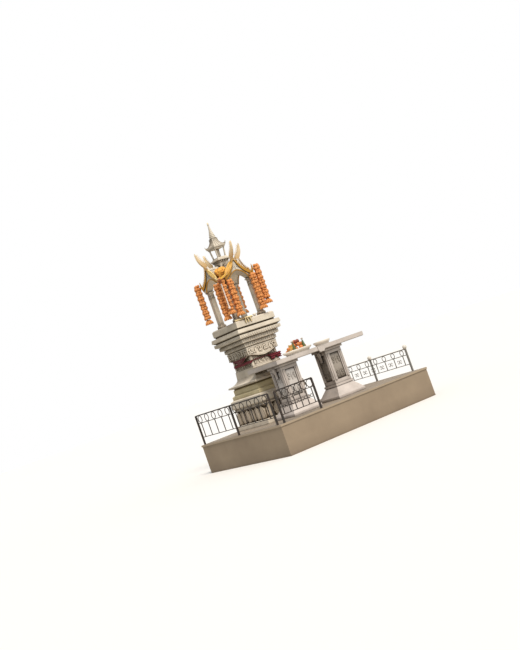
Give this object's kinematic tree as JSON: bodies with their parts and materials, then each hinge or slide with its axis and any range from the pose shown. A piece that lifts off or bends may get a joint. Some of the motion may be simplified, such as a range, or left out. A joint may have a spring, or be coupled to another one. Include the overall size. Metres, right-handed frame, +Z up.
{
  "type": "spirit house",
  "caption": "Roadside spirit house: moulded pedestal with a four-gabled, spired pavilion and an altar table, on a railed masonry plinth.",
  "frame": {"origin": "middle of the plinth's underside, on the ground", "axes": "+Z up, +X to the right along the plinth's front, +Y from the front to the back"},
  "size_m": [3.55, 2.75, 4.52],
  "materials": {
    "black_iron": "black painted wrought iron",
    "cast_white": "white painted cast concrete, matt, grey in the grooves",
    "cream_paint": "cream-yellow painted cast concrete",
    "fruit": "fruit and folded paper offerings",
    "gilded": "gold paint on cast concrete, semi-gloss",
    "grey_iron": "grey painted iron",
    "marigold": "orange flower garland",
    "painted_masonry": "tan painted render, matt, dusty",
    "red_cloth": "dark red cloth",
    "terrazzo": "white polished cast stone",
    "white_plate": "glazed plate",
    "yellow_satin": "yellow satin cloth"
  },
  "bodies": {
    "root": {"apron_collar": "cast_white", "bargeboard_east": "gilded", "bargeboard_north": "gilded", "bargeboard_south": "gilded", "bargeboard_west": "gilded", "base_step": "cast_white", "bell_foot": "cast_white", "column_back": "cast_white", "column_front": "cast_white", "column_left": "cast_white", "column_right": "cast_white", "corner_horn_back": "gilded", "corner_horn_front": "gilded", "corner_horn_left": "gilded", "corner_horn_right": "gilded", "corner_sash": "yellow_satin", "cream_tier": "cream_paint", "crown_roof": "cast_white", "far_leg": "terrazzo", "gable_east": "cast_white", "gable_north": "cast_white", "gable_south": "cast_white", "gable_west": "cast_white", "garland_back": "marigold", "garland_left": "marigold", "garlands_front": "marigold", "garlands_right": "marigold", "lantern": "cast_white", "moulded_bands": "cast_white", "near_leg": "terrazzo", "neck": "cast_white", "neck_cloth": "red_cloth", "offering_heap": "fruit", "petal_tier": "cast_white", "platform_edge": "cast_white", "plinth": "painted_masonry", "rail_front": "black_iron", "rail_left": "black_iron", "rail_right": "grey_iron", "roof_ledge": "cast_white", "roof_vault": "cast_white", "spire": "cast_white", "table_slab": "terrazzo", "tray_far": "white_plate", "tray_near": "white_plate", "upper_slab": "cast_white", "white_tier": "cast_white"}
  },
  "joints": []
}
